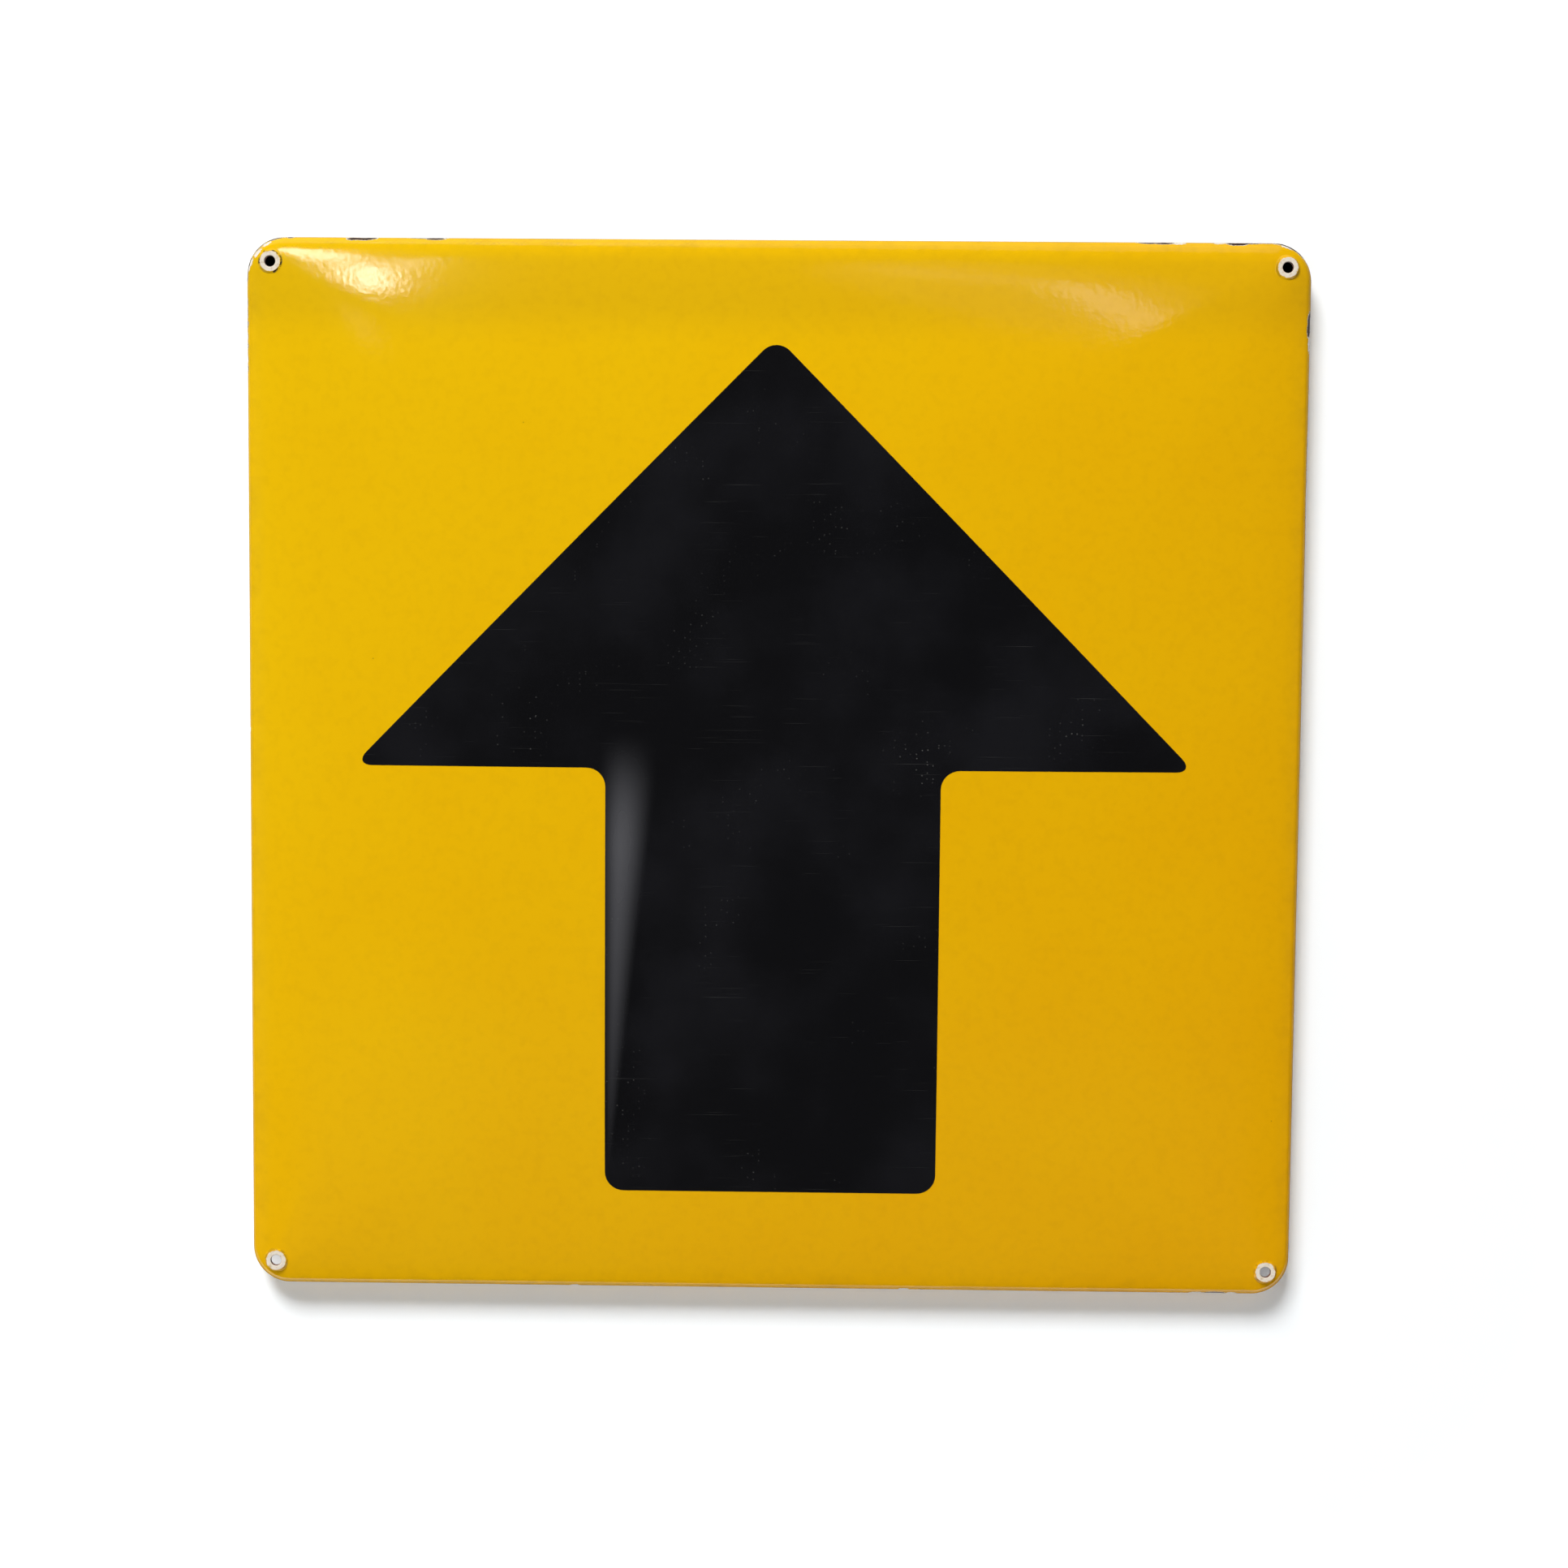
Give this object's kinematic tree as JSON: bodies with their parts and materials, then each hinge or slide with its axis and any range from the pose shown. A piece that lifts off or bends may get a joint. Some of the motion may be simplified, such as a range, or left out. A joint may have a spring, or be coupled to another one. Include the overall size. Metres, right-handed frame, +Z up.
{
  "type": "enamel sign plate",
  "caption": "Square pressed-steel enamel sign plate with a pillowed face, rolled-back edge and a screw hole in each corner.",
  "frame": {"origin": "middle of the four screw holes, in the plane of the flat seats round them", "axes": "-Y out of the face, +Y towards the wall, +X to the right as the face is seen, +Z up"},
  "size_m": [0.5, 0.0227, 0.5],
  "materials": {
    "enamelled_steel": "glossy vitreous enamel, yellow on the face and dark ground coat on the back, with small chips down to rusty steel along the edges"
  },
  "bodies": {
    "root": {"sign_plate": "enamelled_steel"}
  },
  "joints": []
}
